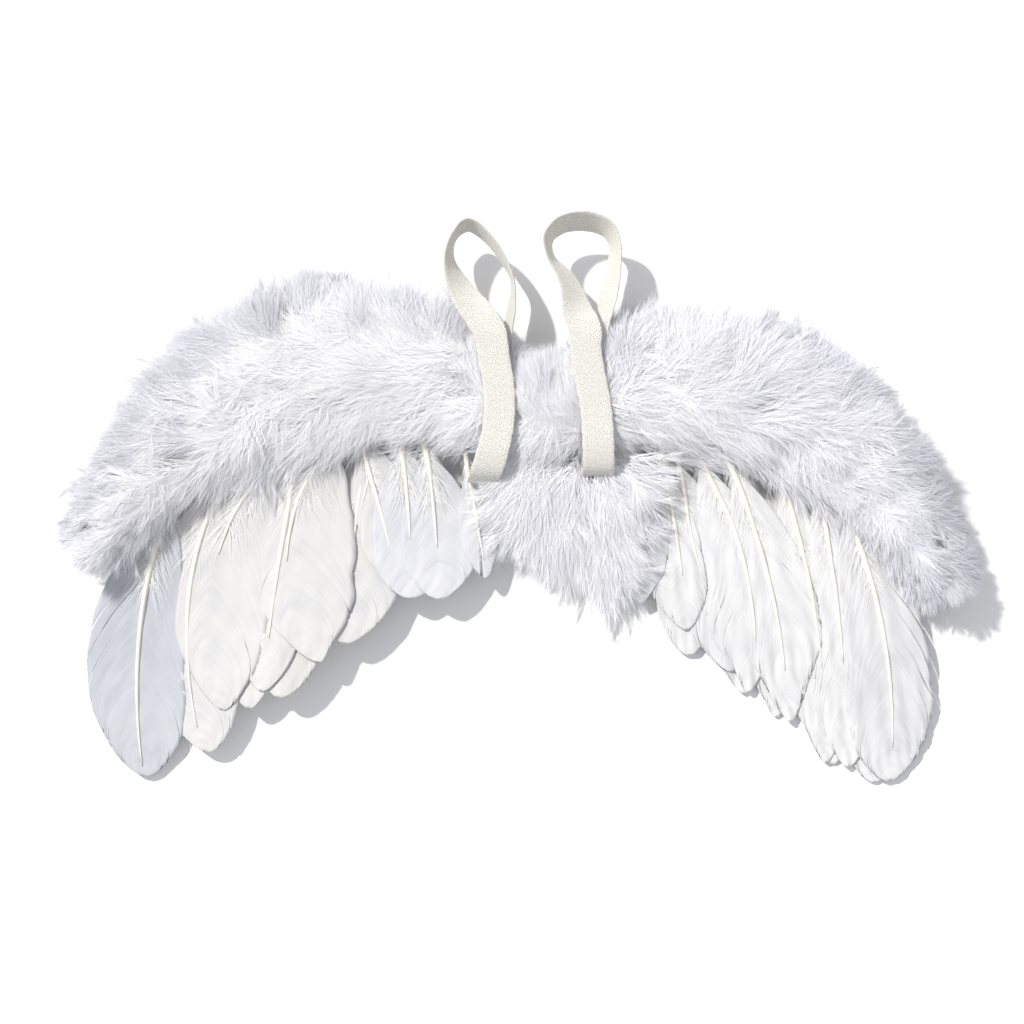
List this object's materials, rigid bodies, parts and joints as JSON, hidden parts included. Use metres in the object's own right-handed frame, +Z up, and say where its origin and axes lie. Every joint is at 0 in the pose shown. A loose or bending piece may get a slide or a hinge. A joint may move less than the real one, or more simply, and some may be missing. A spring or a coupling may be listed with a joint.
{
  "type": "fairy wings",
  "caption": "Baby-size dress-up wings: white feathers under a fluffy marabou band, with elastic arm loops at the centre and two folding wings.",
  "frame": {"origin": "on the rest plane, under the middle of the marabou band between the two straps", "axes": "+X across the span towards the right wing, +Y towards the top edge where the arm loops stand out, +Z up out of the strap side"},
  "size_m": [0.4079, 0.2572, 0.031],
  "materials": {
    "fluff": "matte",
    "feather": "satin",
    "felt": "matte",
    "elastic": "matte",
    "thread": "matte",
    "wire": "brushed"
  },
  "bodies": {
    "centre": {"centre_marabou": "fluff", "centre_marabou_tuft": "fluff", "centre_felt": "felt", "centre_facing": "felt", "centre_boa_cord": "thread", "centre_cover": "feather", "left_strap_run": "elastic", "left_strap_tail": "elastic", "right_strap_run": "elastic", "right_strap_tail": "elastic", "left_run_tack": "thread", "left_tail_tack": "thread", "right_run_tack": "thread", "right_tail_tack": "thread"},
    "left_wing": {"left_marabou_4": "fluff", "left_marabou_3": "fluff", "left_marabou_2": "fluff", "left_marabou_1": "fluff", "left_wing_felt": "felt", "left_quill_facing": "felt", "left_quill_backing": "felt", "left_edge_wire": "wire", "left_boa_cord": "thread", "left_flight_1": "feather", "left_flight_2": "feather", "left_flight_3": "feather", "left_flight_4": "feather", "left_flight_5": "feather", "left_flight_6": "feather", "left_under_1": "feather", "left_under_2": "feather", "left_under_3": "feather", "left_cover_1": "feather", "left_cover_2": "feather"},
    "right_wing": {"right_marabou_1": "fluff", "right_marabou_2": "fluff", "right_marabou_3": "fluff", "right_marabou_4": "fluff", "right_wing_felt": "felt", "right_quill_facing": "felt", "right_quill_backing": "felt", "right_edge_wire": "wire", "right_boa_cord": "thread", "right_flight_1": "feather", "right_flight_2": "feather", "right_flight_3": "feather", "right_flight_4": "feather", "right_flight_5": "feather", "right_flight_6": "feather", "right_flight_7": "feather", "right_under_1": "feather", "right_under_2": "feather", "right_under_3": "feather", "right_under_4": "feather", "right_under_5": "feather", "right_cover_1": "feather"},
    "left_arm_loop": {"left_strap_loop": "elastic"},
    "right_arm_loop": {"right_strap_loop": "elastic"}
  },
  "joints": [
    {"name": "left_wing_fold", "type": "hinge", "parent": "centre", "child": "left_wing", "pos_m": [-0.048, 0, 0.00875], "axis": [-0.1513, 0.9885, 0], "range_deg": [0, 50]},
    {"name": "right_wing_fold", "type": "hinge", "parent": "centre", "child": "right_wing", "pos_m": [0.039, 0, 0.00875], "axis": [-0.165, -0.9863, 0], "range_deg": [0, 50]},
    {"name": "left_loop_lift", "type": "hinge", "parent": "centre", "child": "left_arm_loop", "pos_m": [-0.024, 0.045, 0.0307], "axis": [1, 0, 0], "range_deg": [0, 80]},
    {"name": "right_loop_lift", "type": "hinge", "parent": "centre", "child": "right_arm_loop", "pos_m": [0.0168, 0.045, 0.0307], "axis": [1, 0, 0], "range_deg": [0, 80]}
  ]
}
